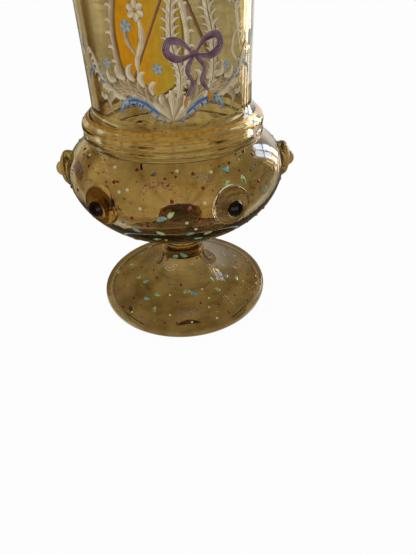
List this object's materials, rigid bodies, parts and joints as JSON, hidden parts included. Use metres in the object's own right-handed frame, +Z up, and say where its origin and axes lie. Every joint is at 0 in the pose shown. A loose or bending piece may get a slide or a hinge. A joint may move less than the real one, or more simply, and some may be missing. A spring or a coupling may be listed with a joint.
{
  "type": "goblet",
  "caption": "Footed glass goblet: straight cup over a squat bulb with jewelled prunts, ringed waist and hollow trumpet foot.",
  "frame": {"origin": "centre of the foot's flat ring, on the ground that the goblet stands on", "axes": "+Z up along the goblet's axis, -Y towards the front of the painted side"},
  "size_m": [0.1212, 0.1122, 0.23],
  "materials": {
    "body_glass": "clear straw-amber glass, glossy, faint lustre, with enamel dots and gilding",
    "ring_glass": "clear straw-amber glass, glossy, with gilt lines",
    "prunt_glass": "brown amber glass, glossy",
    "jewel_glass": "near-black brown glass, glossy"
  },
  "bodies": {
    "root": {"bowl": "body_glass", "upper_collar_ring": "ring_glass", "lower_collar_ring": "ring_glass", "merese": "ring_glass", "foot": "body_glass", "prunt_1": "prunt_glass", "prunt_2": "prunt_glass", "prunt_3": "prunt_glass", "prunt_4": "prunt_glass", "prunt_5": "prunt_glass", "prunt_6": "prunt_glass", "jewel_1": "jewel_glass", "jewel_2": "jewel_glass", "jewel_3": "jewel_glass", "jewel_4": "jewel_glass", "jewel_5": "jewel_glass", "jewel_6": "jewel_glass"}
  },
  "joints": []
}
